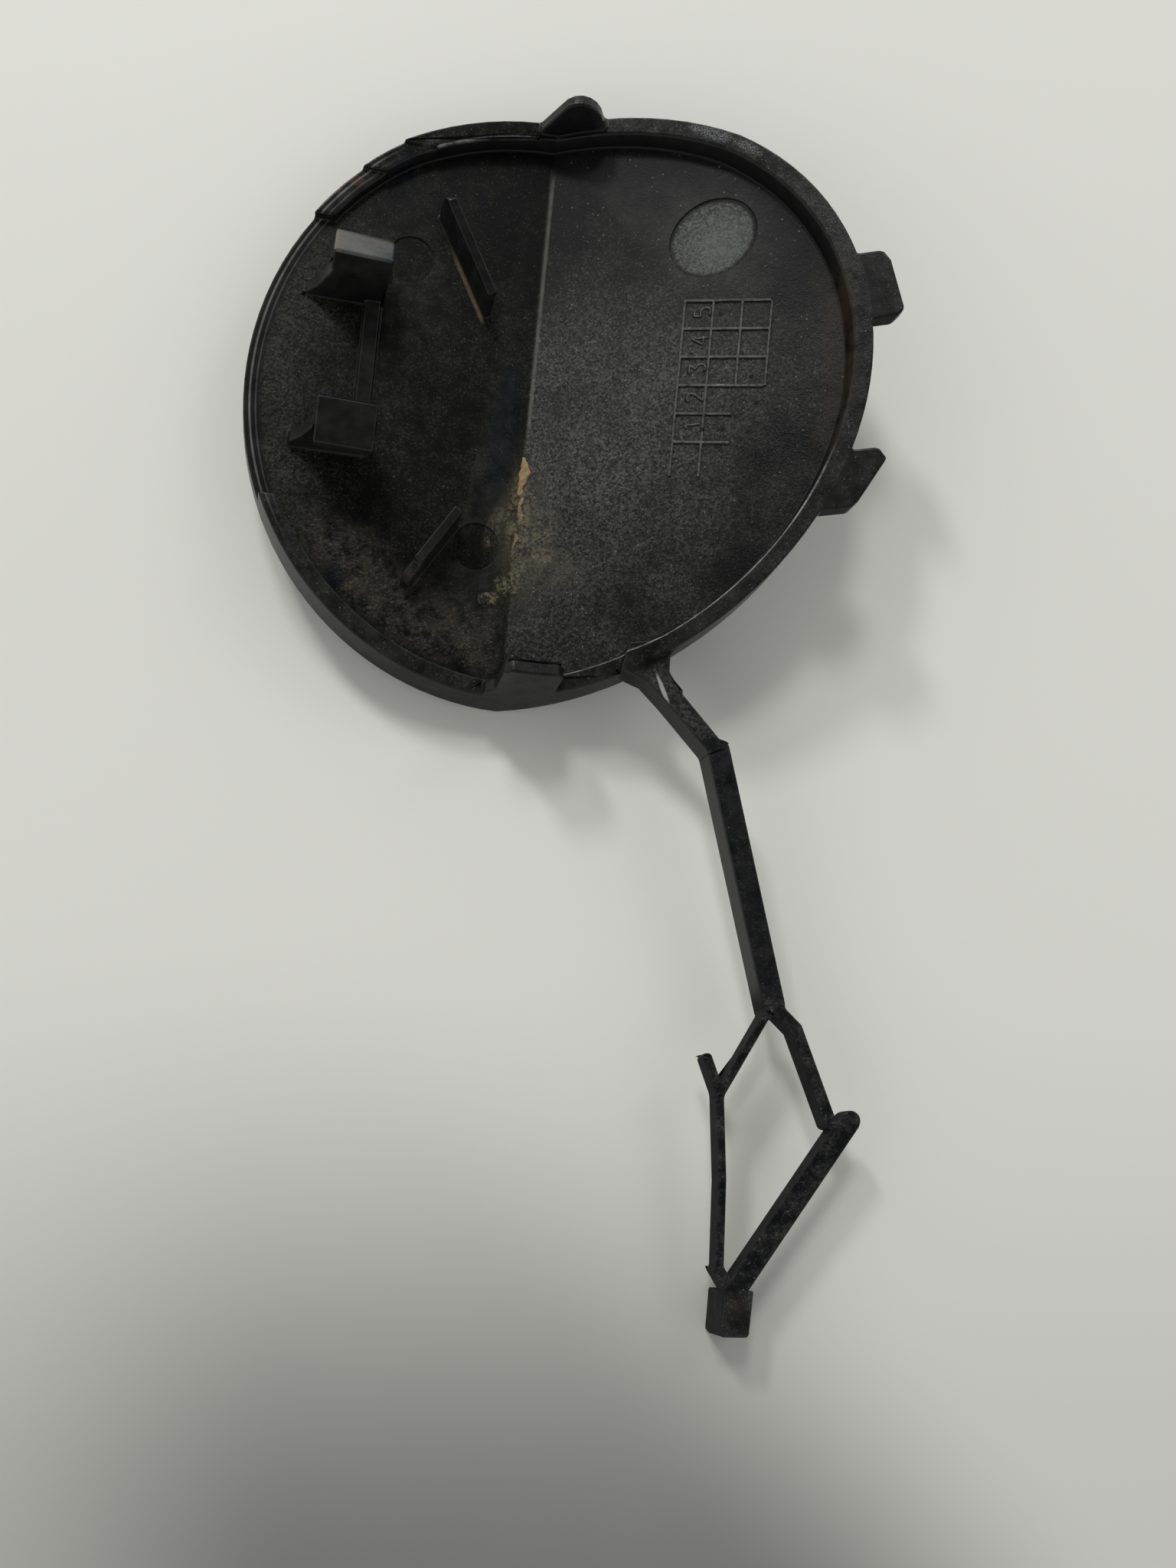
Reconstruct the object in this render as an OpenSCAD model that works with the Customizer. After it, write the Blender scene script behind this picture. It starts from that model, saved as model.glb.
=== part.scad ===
// Tow eye cover for a car bumper, seen from its back: one black injection moulding.
// The round skin has two flat faces that meet in a crease. A low rim, two spring tongues,
// two side tabs, two snap clips and two guide fins stand on its back, and a stiff strap
// with an arrow-shaped anchor keeps the cover on the bumper when it is open.
// Everything on the back stands along the moulding direction, which is +Z of the moulding.
// The finished part is then tipped so that it lies face down as on the table:
// on its crease line and on the end of the anchor. Sizes are in millimetres.

/* [Cap] */
// Diameter of the cap, seen along the moulding direction
cap_d = 80; // [74:1:90]
// Flattening of the outline at the top tongue
top_flat = 0.7; // [0:0.1:1.2]
// Wall of the skin, along the moulding direction
skin = 2.5; // [1.8:0.1:3.2]
// Distance from the crease line to the centre of the cap
crease_offset = 1.1; // [-4:0.1:4]
// Rise of the crease line towards the top tongue, in degrees
crease_rise = 16.2; // [8:0.1:20]
// Tilt of the small face across the crease, in degrees
left_tilt = 3.2; // [0:0.1:8]
// Tilt of the large face across the crease, in degrees
right_tilt = 27.2; // [18:0.1:32]

/* [Rim] */
// Width of the rim
rim_w = 2.3; // [1.8:0.1:3]
// Height of the rim over the floor of the cap
rim_h = 2.5; // [1.6:0.1:4]
// Where the full rim stops at the upper left, along the crease
rim_stop = 33.2; // [31:0.1:35]
// Where the middle step of the rim after it stops
step_stop = 29; // [27:0.1:30.5]
// Where the low part of the rim after that step stops
low_stop = 22.2; // [18:0.1:26]
// Where the rim starts again, below the lower clip
rim_start = -16.4; // [-22:0.1:-13]
// Height of the middle step of the rim over the floor
step_rim_h = 2; // [1.6:0.1:2.2]
// Height of the low part of the rim over the floor
low_rim_h = 1.3; // [0.6:0.1:2]

/* [Tongues] */
// Wall of both tongues, measured from the outline inwards
tongue_t = 1.8; // [1.4:0.1:2.4]
// Width of the top tongue at its foot
top_tongue_w = 10.4; // [8:0.1:14]
// Height of the top tongue over the floor
top_tongue_h = 6.6; // [4.5:0.1:9]
// Sideways place of both tongues, from the crease line
tongue_x = 2.5; // [0:0.1:4]
// Width of the bottom tongue
low_tongue_w = 8.2; // [6:0.1:12]
// Height of the bottom tongue over the floor
low_tongue_h = 10.6; // [7:0.1:13]

/* [Side tabs] */
// How far the lower corner of the upper tab stands out of the round outline
tab_up_reach = 3.1; // [2:0.1:4.5]
// How much less the upper corner of the upper tab stands out
tab_up_taper = 2; // [0:0.1:3]
// How far the upper corner of the lower tab stands out of the round outline
tab_low_reach = 2.5; // [2:0.1:4]
// How much less the lower corner of the lower tab stands out
tab_low_taper = 2.8; // [0:0.1:3.5]
// Thickness of the side tabs
tab_t = 1.9; // [1.4:0.1:2.5]
// Lower edge of the upper tab, along the crease
tab_up_y = 5.6; // [2:0.1:8]
// Length of the upper tab along the rim
tab_up_l = 9.1; // [6:0.1:12]
// Lower edge of the lower tab, along the crease
tab_low_y = -18.6; // [-21:0.1:-16]
// Length of the lower tab along the rim
tab_low_l = 7.5; // [6:0.1:11]

/* [Snap clips] */
// Width of each clip
clip_w = 7.8; // [6:0.1:10]
// Left edge of the clips at their foot, from the crease line
clip_x = -30.1; // [-31:0.1:-27]
// Back of the upper clip, along the crease
clip_up_y = 11.8; // [9:0.1:13]
// Back of the lower clip, along the crease
clip_low_y = -6.6; // [-9:0.1:-4]
// Height of the clips over the floor
clip_h = 9.2; // [7:0.1:11]
// Thickness of the arm of a clip
clip_t = 2.1; // [1.6:0.1:2.6]
// Reach of the nose, from the back of the arm
nose_reach = 5.8; // [4.6:0.1:6.5]
// Drop of the lead-in slope from the top edge to the nose
nose_drop = 2.4; // [1.5:0.1:3.5]
// Height of the blunt edge of the nose
nose_edge = 1.1; // [0.6:0.1:1.6]
// Sideways set of the head of each clip from its foot
clip_set = 1.2; // [0:0.1:2]
// Reach of the gusset at the foot of each clip
gusset = 2.1; // [1:0.1:3]
// Width of the low rib that joins the two clips
tie_w = 2.2; // [1:0.1:3]
// Height of the low rib that joins the two clips
tie_h = 0.8; // [0.4:0.1:1.6]

/* [Guide fins] */
// Thickness of the guide fins
fin_t = 1.4; // [1:0.1:2]
// Height of the upper guide fin over the floor
fin_up_h = 5; // [3:0.1:7]
// Height of the lower guide fin over the floor
fin_low_h = 4.2; // [3:0.1:7]
// Length of the upper guide fin
fin_up_l = 15; // [10:0.1:16]
// Length of the lower guide fin
fin_low_l = 11.5; // [8:0.1:13]
// Direction of the upper guide fin, in degrees
fin_up_turn = -60; // [-75:1:-45]
// Direction of the lower guide fin, in degrees
fin_low_turn = 57; // [40:1:70]

/* [Marks on the floor] */
// Radius of the large ejector mark
mark_big_r = 5.4; // [4:0.1:6]
// Radius of the small ejector marks
mark_small_r = 3.2; // [2:0.1:4]
// Depth of the ejector marks
mark_deep = 0.2; // [0.1:0.05:0.4]
// Pitch of the date grid
grid_pitch = 4; // [3:0.1:4.2]
// Height of the lines of the date grid
grid_h = 0.2; // [0.15:0.05:0.4]
// Width of the lines of the date grid
grid_line = 0.35; // [0.25:0.05:0.5]

/* [Strap] */
// Width of the strap between the cap and its bend
neck_w = 2.2; // [2:0.1:4]
// Width of the strap between its bend and the anchor
stem_w = 3; // [2.4:0.1:4]
// Depth of the strap
strap_t = 3.4; // [2:0.1:3.8]
// Place of the bend, across the crease
bend_x = 28.3; // [26:0.1:30]
// Place of the bend, along the crease
bend_y = -47.4; // [-50:0.1:-45]
// Fall of the strap towards the table, in degrees
strap_fall = 3; // [2:0.1:4]
// Height of the top of the strap over the table where it leaves the rim
strap_up = 10.3; // [9.6:0.1:10.8]

/* [Anchor] */
// Place of the fork, across the crease
fork_x = 39.3; // [37:0.1:41]
// Place of the fork, along the crease
fork_y = -79.7; // [-84:0.1:-76]
// Depth of the legs and bars of the anchor
anchor_t = 2.6; // [1.8:0.1:3]
// Width of the leg at the side of the wide bar
leg_w = 1.7; // [1.2:0.1:2.4]
// Width of the thin leg and the thin strip
thin_w = 1.1; // [0.9:0.05:1.6]
// Width of the wide bar that ends in a barb
bar_w = 2.9; // [2:0.1:3.4]
// Length from the fork to the end block
anchor_l = 36.6; // [32:0.1:42]
// Width of the end block
block_w = 4; // [3:0.1:5]
// Length of the end block
block_l = 6; // [4:0.1:8]

/* [Rest on the table] */
// Angle between the small face and the table, in degrees
lift = 8; // [5:0.5:10]
// Turn of the whole part seen from above, in degrees
turn = -5.4; // [-20:0.1:20]
// Shift to the middle of the part, across
mid_x = 5.6;
// Shift to the middle of the part, along
mid_y = -42.52;

/* [Hidden] */

$fn = 96;
big = 400;
cap_r = cap_d / 2;
ring_r = cap_r - rim_w;
fork = [fork_x, fork_y];
barb_root = fork + [9.2, -14.8];
barb_end = fork + [11.8, -14.6];
bar_foot = fork + [-0.9, 0.4 - anchor_l];
strip_head = fork + [-6, -11.7];
strip_mid = fork + [-4.5, -22.4];
strip_foot = fork + [-3.6, -34];
hook_end = fork + [-8.1, -6.9];
block_c = fork + [-0.65, -anchor_l - block_l / 2];

// Height of the floor over the crease plane, for things that stand on a face
function floor_z(x, y) =
    skin + tan(crease_rise) * y + x * tan(x < 0 ? left_tilt : right_tilt) / cos(crease_rise);

// Everything above one of the two faces, dz over its outside
module above(tilt, dz) {
    translate([0, 0, dz])
        rotate([crease_rise, 0, 0])
            rotate([0, -tilt, 0])
                translate([-big / 2, -big / 2, 0])
                    cube([big, big, big]);
}

// Everything above the skin: dz over the outside of both faces
module above_both(dz) {
    intersection() {
        above(left_tilt, dz);
        above(right_tilt, dz);
    }
}

// Round column along the moulding direction, a little flatter at the top tongue
module column(r) {
    intersection() {
        translate([crease_offset, 0, -big / 4])
            cylinder(r = r, h = big / 2, $fn = 180);
        translate([crease_offset, -4 - top_flat, -big / 4])
            cylinder(r = r + 4, h = big / 2, $fn = 180);
    }
}

// Slice of the left side of the rim between two places along the crease
module rim_slice(y_low, y_high) {
    intersection() {
        translate([-big / 4, y_low, -big / 4])
            cube([big / 4 - cap_r * 0.3, y_high - y_low, big / 2]);
        difference() {
            column(cap_r * 1.1);
            column(ring_r - 0.1);
        }
    }
}

// The skin with its rim all the way round, cut at the height of the rim
module dish() {
    difference() {
        intersection() {
            column(cap_r);
            above_both(0);
        }
        above_both(skin + rim_h);
        intersection() {
            column(ring_r);
            above_both(skin);
        }
    }
}

// What is taken off the rim: all of it at the left, and the top of its two low steps
module rim_gaps() {
    intersection() {
        rim_slice(rim_start, low_stop);
        above(left_tilt, skin);
    }
    intersection() {
        rim_slice(low_stop - 0.1, step_stop);
        above(left_tilt, skin + low_rim_h);
    }
    intersection() {
        rim_slice(step_stop - 0.1, rim_stop);
        above(left_tilt, skin + step_rim_h);
    }
}

// Thin wall that follows the outline, for the tongues
module wall(t) {
    difference() {
        column(cap_r);
        column(cap_r - t);
    }
}

// Top tongue: a low wall with a round head
module top_tongue() {
    z = floor_z(tongue_x, cap_r);
    half = top_tongue_w / 2;
    head_r = top_tongue_w * 0.3;
    head = [for (a = [160 : -20 : 20]) [head_r * cos(a), top_tongue_h - head_r + head_r * sin(a)]];
    intersection() {
        wall(tongue_t);
        translate([tongue_x, big / 4, z])
            rotate([90, 0, 0])
                linear_extrude(big / 4)
                    polygon(concat([[-half, -skin / 2], [-half, 0.6]], head,
                                   [[half, 2.2], [half, -skin / 2]]));
        above_both(skin / 2);
    }
}

// Bottom tongue: a taller wall with a thicker lip inside its top edge
module low_tongue() {
    z = floor_z(tongue_x, -cap_r);
    half = low_tongue_w / 2;
    intersection() {
        wall(tongue_t);
        translate([tongue_x, 0, z])
            rotate([90, 0, 0])
                linear_extrude(big / 4)
                    polygon([[-half - 1.3, -skin / 2], [-half - 1.3, rim_h],
                             [-half, rim_h + 1.4], [-half, low_tongue_h - 1],
                             [-half + 1, low_tongue_h], [half - 1, low_tongue_h],
                             [half, low_tongue_h - 1], [half, rim_h + 1],
                             [half + 0.6, rim_h], [half + 0.6, -skin / 2]]);
        above_both(skin / 2);
    }
    translate([tongue_x - half + 0.8, tongue_t - cap_r - 0.6, z + low_tongue_h - 2])
        cube([low_tongue_w - 1.6, 1, 1.7]);
}

// Side tabs: plates that carry the top of the rim outwards
module side_tab(y, l, low_reach, high_reach) {
    x_in = crease_offset + sqrt(cap_r * cap_r - y * y) - rim_w;
    low = cap_r + crease_offset + low_reach;
    high = cap_r + crease_offset + high_reach;
    intersection() {
        difference() {
            above(right_tilt, skin + rim_h - tab_t);
            above(right_tilt, skin + rim_h);
            column(ring_r + 0.2);
        }
        translate([0, 0, -big / 4])
            linear_extrude(big / 2)
                polygon([[x_in - 4, y], [low - 0.8, y], [low, y + 0.8],
                         [high, y + l - 1.6], [high - 0.9, y + l - 0.3],
                         [high - 1.6, y + l], [x_in - 4, y + l]]);
    }
}

// One snap clip: arm, nose with its lead-in slope, and the gusset at its foot
module clip(y, side) {
    z = floor_z(clip_x + clip_w / 2, y);
    low = clip_h - nose_drop - nose_edge - 0.9;
    translate([clip_x, y, z]) {
        translate([clip_set, 0, 0])
            rotate([90, 0, 90])
                linear_extrude(clip_w)
                    polygon([[0, low], [0, clip_h - 0.3], [side * 0.3, clip_h],
                             [side * nose_reach, clip_h - nose_drop],
                             [side * nose_reach, clip_h - nose_drop - nose_edge],
                             [side * clip_t, low]]);
        translate([0, max(0, side * clip_t), 0])
            rotate([90, 0, 0])
                linear_extrude(clip_t)
                    polygon([[clip_w, -skin * 0.5], [clip_w + clip_set, low + 0.4],
                             [clip_set, low + 0.4], [0.4 - gusset / 2, 1.8],
                             [-gusset, 0.2], [-gusset - 0.4, -skin * 0.5]]);
    }
}

// Low rib between the backs of the two clips
module tie() {
    intersection() {
        above(left_tilt, skin - 0.5);
        translate([clip_x + clip_w - tie_w + 0.4, clip_low_y, -big / 4])
            cube([tie_w, clip_up_y - clip_low_y, big / 2]);
        difference() {
            above(left_tilt, 0);
            above(left_tilt, skin + tie_h);
        }
    }
}

// A guide fin: a thin plate that stands on the small face
module fin(x, y, turn_z, l, h, end) {
    top = h + skin / 2;
    intersection() {
        translate([x, y, 0])
            rotate([0, 0, turn_z])
                translate([0, 0, floor_z(x, y) - skin / 2])
                    rotate([90, 0, 0])
                        translate([0, 0, -fin_t])
                            linear_extrude(fin_t)
                                polygon([[0, -12], [l, -12], [l, 14], [end + 1, 14],
                                             [end, top], [end * 0.3, top - 0.7],
                                             [0, top - 0.6 - end * 0.6]]);
        difference() {
            above(left_tilt, skin / 2);
            above(left_tilt, skin + h);
        }
    }
}

// Shallow round marks that the ejector pins leave in the floor
module marks() {
    translate([21.5, 21.4, 0])
        intersection() {
            cylinder(r = mark_big_r, h = big / 4);
            translate([-21.5, -21.4, 0])
                above(right_tilt, skin - mark_deep);
        }
    intersection() {
        translate([-18.5, 18.9, 0])
            cylinder(r = mark_small_r, h = big / 4);
        above(left_tilt, skin - mark_deep);
    }
    intersection() {
        translate([-5.5, -18.8, -big / 8])
            cylinder(r = mark_small_r, h = big / 4);
        above(left_tilt, skin - mark_deep);
    }
}

// Raised lines of the date grid, square to the crease on the large face
module date_grid() {
    translate([0, 0, skin])
        rotate([crease_rise, 0, 0])
            rotate([0, -right_tilt, 0])
                translate([21.1, 16.4, -0.3]) {
                    for (i = [0 : 5])
                        translate([-grid_line / 2, -i * grid_pitch - grid_line / 2, 0])
                            cube([(i < 4 ? 3 : 2) * grid_pitch, grid_line, 0.3 + grid_h]);
                    for (j = [0 : 3])
                        translate([j * grid_pitch - grid_line / 2,
                                   -(j < 2 ? 6.2 : 3) * grid_pitch, 0])
                            cube([grid_line, (j < 2 ? 6.2 : 3) * grid_pitch, 0.3 + grid_h]);
                }
}

module cap_body() {
    difference() {
        dish();
        rim_gaps();
        marks();
    }
    top_tongue();
    low_tongue();
    side_tab(tab_up_y, tab_up_l, tab_up_reach, tab_up_reach - tab_up_taper);
    side_tab(tab_low_y, tab_low_l, tab_low_reach - tab_low_taper, tab_low_reach);
    clip(clip_up_y, 1);
    clip(clip_low_y, -1);
    tie();
    fin(-15.3, 25.3, fin_up_turn, fin_up_l, fin_up_h, 1.7);
    fin(-14.4, -26.1, fin_low_turn, fin_low_l, fin_low_h, 2.5);
    date_grid();
}

// Tips the moulding so that its crease line lies on the table
module laid() {
    rotate([0, 0, turn])
        rotate([0, left_tilt + lift, 0])
            rotate([-crease_rise, 0, 0])
                children();
}

// Straight member of the strap in plan, with round ends
module member(a, b, w) {
    d = b - a;
    translate(a)
        rotate(atan2(d[1], d[0]))
            translate([0, -w / 2])
                square([norm(d), w]);
    translate(a)
        circle(d = w, $fn = 32);
    translate(b)
        circle(d = w, $fn = 32);
}

module strap_plan() {
    member([cap_r * 0.41, -cap_r * 0.89], [bend_x - 0.1, bend_y], neck_w);
    member([bend_x, bend_y], fork, stem_w);
    // flare of the strap into the rim
    polygon([[14.2, -37.4], [17.6, -38.7], [20.6, -41.4], [22.6, -40.1],
             [20.7, -37.6], [20.6, -35.6], [21.8, -33], [15, -34]]);
}

module anchor_plan() {
    member(fork + [0.3, -0.3], fork + [3.3, -2.9], leg_w);
    member(fork + [3.3, -2.9], barb_root, leg_w);
    member(barb_end, bar_foot, bar_w);
    member(fork + [-0.4, -0.2], strip_head, thin_w);
    member(hook_end, strip_head + [0, 0.4], thin_w * 1.1);
    member(strip_head, strip_mid, thin_w);
    member(strip_mid, strip_foot, thin_w);
    member(strip_foot, block_c + [-0.8, block_l / 2 - 0.4], thin_w * 1.3);
}

module block_plan() {
    translate(block_c - [block_w / 2, block_l / 2])
        polygon([[0, 0.6], [0.6, 0], [block_w - 0.3, 0], [block_w, 0.3],
                 [block_w, block_l], [0, block_l]]);
}

// A slab along the strap, its top side at the height of the strap
module slab(t) {
    translate([0, -35.5, strap_up])
        rotate([strap_fall, 0, 0])
            translate([-big / 2, -big * 0.75, -t])
                cube([big, big, t]);
}

module prism() {
    translate([0, 0, -big / 4])
        linear_extrude(big / 2)
            children();
}

module strap() {
    intersection() {
        slab(strap_t);
        laid()
            prism()
                strap_plan();
    }
    intersection() {
        slab(anchor_t);
        laid()
            prism()
                anchor_plan();
    }
    intersection() {
        slab(12);
        translate([-big / 2, -big / 2, 0])
            cube([big, big, big / 2]);
        laid()
            prism()
                block_plan();
    }
}

module tow_eye_cover() {
    color("#1c1d1c")
        translate([-mid_x, -mid_y, 0]) {
            laid()
                cap_body();
            strap();
        }
}

tow_eye_cover();
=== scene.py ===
"""Tow eye cover: a black bumper cap with snap clips and a moulded strap.

It lies face down on a white table, seen from its back.
"""

import bmesh
import bpy
import numpy as np
from mathutils import Matrix


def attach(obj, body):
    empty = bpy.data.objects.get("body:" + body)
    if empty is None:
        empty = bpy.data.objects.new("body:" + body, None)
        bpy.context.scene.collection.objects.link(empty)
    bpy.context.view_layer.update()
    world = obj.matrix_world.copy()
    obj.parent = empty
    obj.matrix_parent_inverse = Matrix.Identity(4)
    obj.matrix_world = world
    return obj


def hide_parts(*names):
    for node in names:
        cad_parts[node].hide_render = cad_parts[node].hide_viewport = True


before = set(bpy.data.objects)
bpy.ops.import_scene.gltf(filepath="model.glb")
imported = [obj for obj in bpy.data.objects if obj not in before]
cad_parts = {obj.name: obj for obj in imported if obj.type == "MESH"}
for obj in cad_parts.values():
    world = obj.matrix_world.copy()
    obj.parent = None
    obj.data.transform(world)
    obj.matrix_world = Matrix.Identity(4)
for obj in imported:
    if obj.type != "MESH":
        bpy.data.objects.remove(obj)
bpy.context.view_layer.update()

# ---------------------------------------------------------------- camera
# A phone held about 17 cm over the table and tilted by four degrees. The lens is that of an
# upright frame of 1536 x 2048 with a focal length of 1540 pixels.
SENSOR_MM, LENS_MM = 36, 27.065
PHONE_POSE = Matrix((
    (0.99854, -0.002816, -0.053949, -0.005454),
    (0.0, 0.998641, -0.052118, -0.017821),
    (0.054022, 0.052042, 0.997183, 0.167102),
    (0, 0, 0, 1)))
camera_data = bpy.data.cameras.new("phone")
camera_data.sensor_width = SENSOR_MM
camera_data.lens = LENS_MM
camera_data.clip_start = 0.005
phone = bpy.data.objects.new("phone", camera_data)
bpy.context.collection.objects.link(phone)
phone.matrix_world = PHONE_POSE
bpy.context.scene.camera = phone

# ---------------------------------------------------------------- black plastic
# Thermoplastic with a fine grain, darkest on the strap. Road dust lies as a grey-green film on
# the two flat faces, rust-brown at the low rim, and as dried mud on the crease.
# Painted light is laid into the colour too: a sheen and glints on the large face, highlights on
# edges, grid, crease and neck, a lighter left flank of the strap, and painted shade on fin, lip,
# pits and crease.

# The mould frame: millimetres, draw direction +z, crease on x = 0. The columns of MOULD are its
# axes on the table. The two flat faces rise along y together and tilt along x each by itself.
MOULD = np.array([
    [0.976612, 0.036389, 0.211904],
    [-0.092317, 0.961146, 0.260214],
    [-0.194202, -0.27369, 0.942]])
MIDDLE = np.array([5.6, -42.52, 0.0])
RISE, SMALL_TILT, LARGE_TILT = np.tan(np.radians([16.2, 3.2, 27.2]))
RISE_COS = np.cos(np.arctan(RISE))
SKIN = 2.5

# Places on the cap, in millimetres of the mould frame. The inner edge of the rim is a circle
# that is a little flatter at the top tongue. A round mark is its x, y and radius.
CAP_X, RIM_INSIDE, RIM_OUTSIDE, RIM_STEP = 1.1, 37.7, 39.15, 38.35
RIM_FLAT_Y, RIM_FLAT_RADIUS = -4.7, 41.7
ROUND_MARKS = ((21.5, 21.4, 5.4), (-18.5, 18.9, 3.2), (-5.5, -18.8, 3.2))
# Middle of the painted sheen on the large face, and of the lighter patch in the big round mark.
SHEEN_MIDDLE, MARK_GLOW_MIDDLE = (8.0, 2.0), (22.6, 20.6)
FIN_X, FIN_Y, FIN_COS, FIN_SIN = -15.3, 25.3, 0.5, 0.866
GRID_PIPS = ((23.3, 10.6), (27.7, 1.5), (28.6, -2.2), (24.8, -5.2), (27.9, -6.0), (22.3, -5.0))

# Blots on the cap, in rows of: middle x and y, half sizes across and along, turn in degrees,
# softness and raggedness of the edge, and strength.
RUST_BLOTS = (
    (-27.2, 27.4, 1.3, 0.7, 0, 0.5, 0.5, 0.8),
    (-29.8, 25.6, 1.2, 0.6, 0, 0.5, 0.5, 0.7),
    (38.4, -118.6, 1.1, 1.6, 0, 0.5, 0.5, 0.12))
MUD_SMEAR = (
    (0.6, -17.0, 3.4, 9.5, 8, 1.3, 0.9, 1.0),
    (4.6, -21.8, 4.6, 2.4, -14, 1.4, 0.9, 0.8))
THICK_MUD = (
    (0.1, -14.6, 1.5, 5.2, 0, 1.0, 0.8, 1.0),
    (2.6, -17.4, 1.8, 3.6, -20, 1.0, 0.9, 0.75),
    (-3.2, -15.6, 0.9, 3.0, -14, 1.0, 0.9, 0.7))
MUD_BLOT = ((3.8, -20.0, 1.6, 1.1, 20, 1.0, 1.0, 1.0),)
MUD_CRUMBS = (
    (-0.6, -23.9, 1.5, 1.0, 0, 0.8, 1.2, 1.0),
    (-2.8, -25.8, 1.2, 0.8, 0, 0.8, 1.2, 1.0),
    (0.6, -22.0, 0.9, 1.6, 0, 0.8, 1.2, 1.0))
# The first row is a painted shadow beside the crease; the other three are dark blots.
DARK_BLOTS = (
    (-3.2, -3.0, 1.9, 10.5, -3, 1.0, 0.6, 1.0),
    (-9.5, 28.5, 0.8, 1.5, 15, 0.6, 0.9, 1.0),
    (-20.5, 30.0, 1.4, 1.8, 0, 0.8, 0.9, 1.0),
    (-24.1, -25.0, 1.6, 2.2, 30, 0.8, 0.9, 1.0))
RIM_SCUFFS = (
    (19.5, 34.3, 2.6, 0.7, -28, 0.8, 1.0, 1.0),
    (24.0, 31.5, 1.8, 0.6, -38, 0.8, 1.0, 1.0),
    (-17.3, 33.8, 1.5, 0.5, 30, 0.8, 1.0, 0.4))
NECK_GLINT = ((20.0, -40.0, 2.2, 0.26, -62, 0.6, 0.15, 1.0),)

# Colours, as linear red, green and blue: bare plastic, dust, dirt and mud, light marks, wear, and
# painted light: sheen, glints, highlights and shade.
BARE, BARE_STRAP = (0.0028, 0.0031, 0.0027), (0.0017, 0.0021, 0.0027)
CLEAN_SHADED_FIN, SHADED_LIP, PIT_SHADE = (0.0007, 0.0008, 0.0008), (0.0009, 0.0010, 0.0010), (0.0015,) * 3
OLIVE_DUST, GREY_DUST = (0.070, 0.074, 0.047), (0.088, 0.0895, 0.0795)
MARK_DUST, LIT_FLANK = (0.100, 0.106, 0.097), (0.060, 0.064, 0.058)
FOOT_DUST = (0.125, 0.090, 0.050)
BROWN_DUST, BROWN_GRAINS = (0.0310, 0.0250, 0.0180), (0.086, 0.067, 0.047)
WALL_DIRT, RUST, DARK_BLUE = (0.025, 0.0155, 0.0095), (0.045, 0.021, 0.011), (0.0020, 0.0026, 0.0048)
HAZE, THIN_MUD = (0.086, 0.078, 0.052), (0.145, 0.122, 0.070)
BLOT_MUD, CRUMB_MUD = (0.135, 0.108, 0.068), (0.135, 0.112, 0.055)
GRIT = (0.22, 0.23, 0.22)
# Painted glints of the grain, on the faces and on the strap.
GRAIN_GLINTS, STRAP_GRAIN_GLINTS = (0.150, 0.156, 0.148), (0.110, 0.124, 0.140)
CREASE_HIGHLIGHT, GRID_HIGHLIGHT, GRID_GLINTS = (0.135, 0.135, 0.115), (0.115, 0.119, 0.114), (0.30, 0.31, 0.30)
NOSE_PALE, NOSE_BLUE = (0.088, 0.089, 0.080), (0.026, 0.042, 0.046)
NOSE_TAN, NOSE_SPECKS = (0.115, 0.090, 0.062), (0.22, 0.22, 0.20)
SCUFF, GLINT, EDGE_WEAR_AND_HIGHLIGHT = (0.20, 0.21, 0.21), (0.40, 0.41, 0.41), (0.050, 0.052, 0.048)
OUTLINE_HIGHLIGHT, RIM_EDGE_HIGHLIGHT = (0.165, 0.170, 0.150), (0.260, 0.270, 0.260)


class Wire:
    """One output socket. Sums, products and powers of wires add Math nodes to their material."""

    def __init__(self, paint, socket):
        self.paint, self.socket = paint, socket

    def math(self, operation, *values):
        return self.paint.node("ShaderNodeMath", {"operation": operation}, *values)

    def __add__(self, other):
        return self.math("ADD", self, other)

    def __sub__(self, other):
        return self.math("SUBTRACT", self, other)

    def __rsub__(self, other):
        return self.math("SUBTRACT", other, self)

    def __mul__(self, other):
        return self.math("MULTIPLY", self, other)

    def __truediv__(self, other):
        return self.math("DIVIDE", self, other)

    def __pow__(self, other):
        return self.math("POWER", self, other)

    __radd__, __rmul__ = __add__, __mul__

    def size(self):
        return self.math("ABSOLUTE", self)

    def most(self, other):
        return self.math("MAXIMUM", self, other)

    def rise(self, low, high):
        """0 below low, 1 above high, smooth between; low may be the larger number."""
        return self.paint.node("ShaderNodeMapRange", {"interpolation_type": "SMOOTHSTEP"},
                               self, low, high, 0, 1)

    def band(self, start, full, fading, end):
        """0 outside start and end, 1 from full to fading, smooth between."""
        return self.rise(start, full) * self.rise(end, fading)


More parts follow.
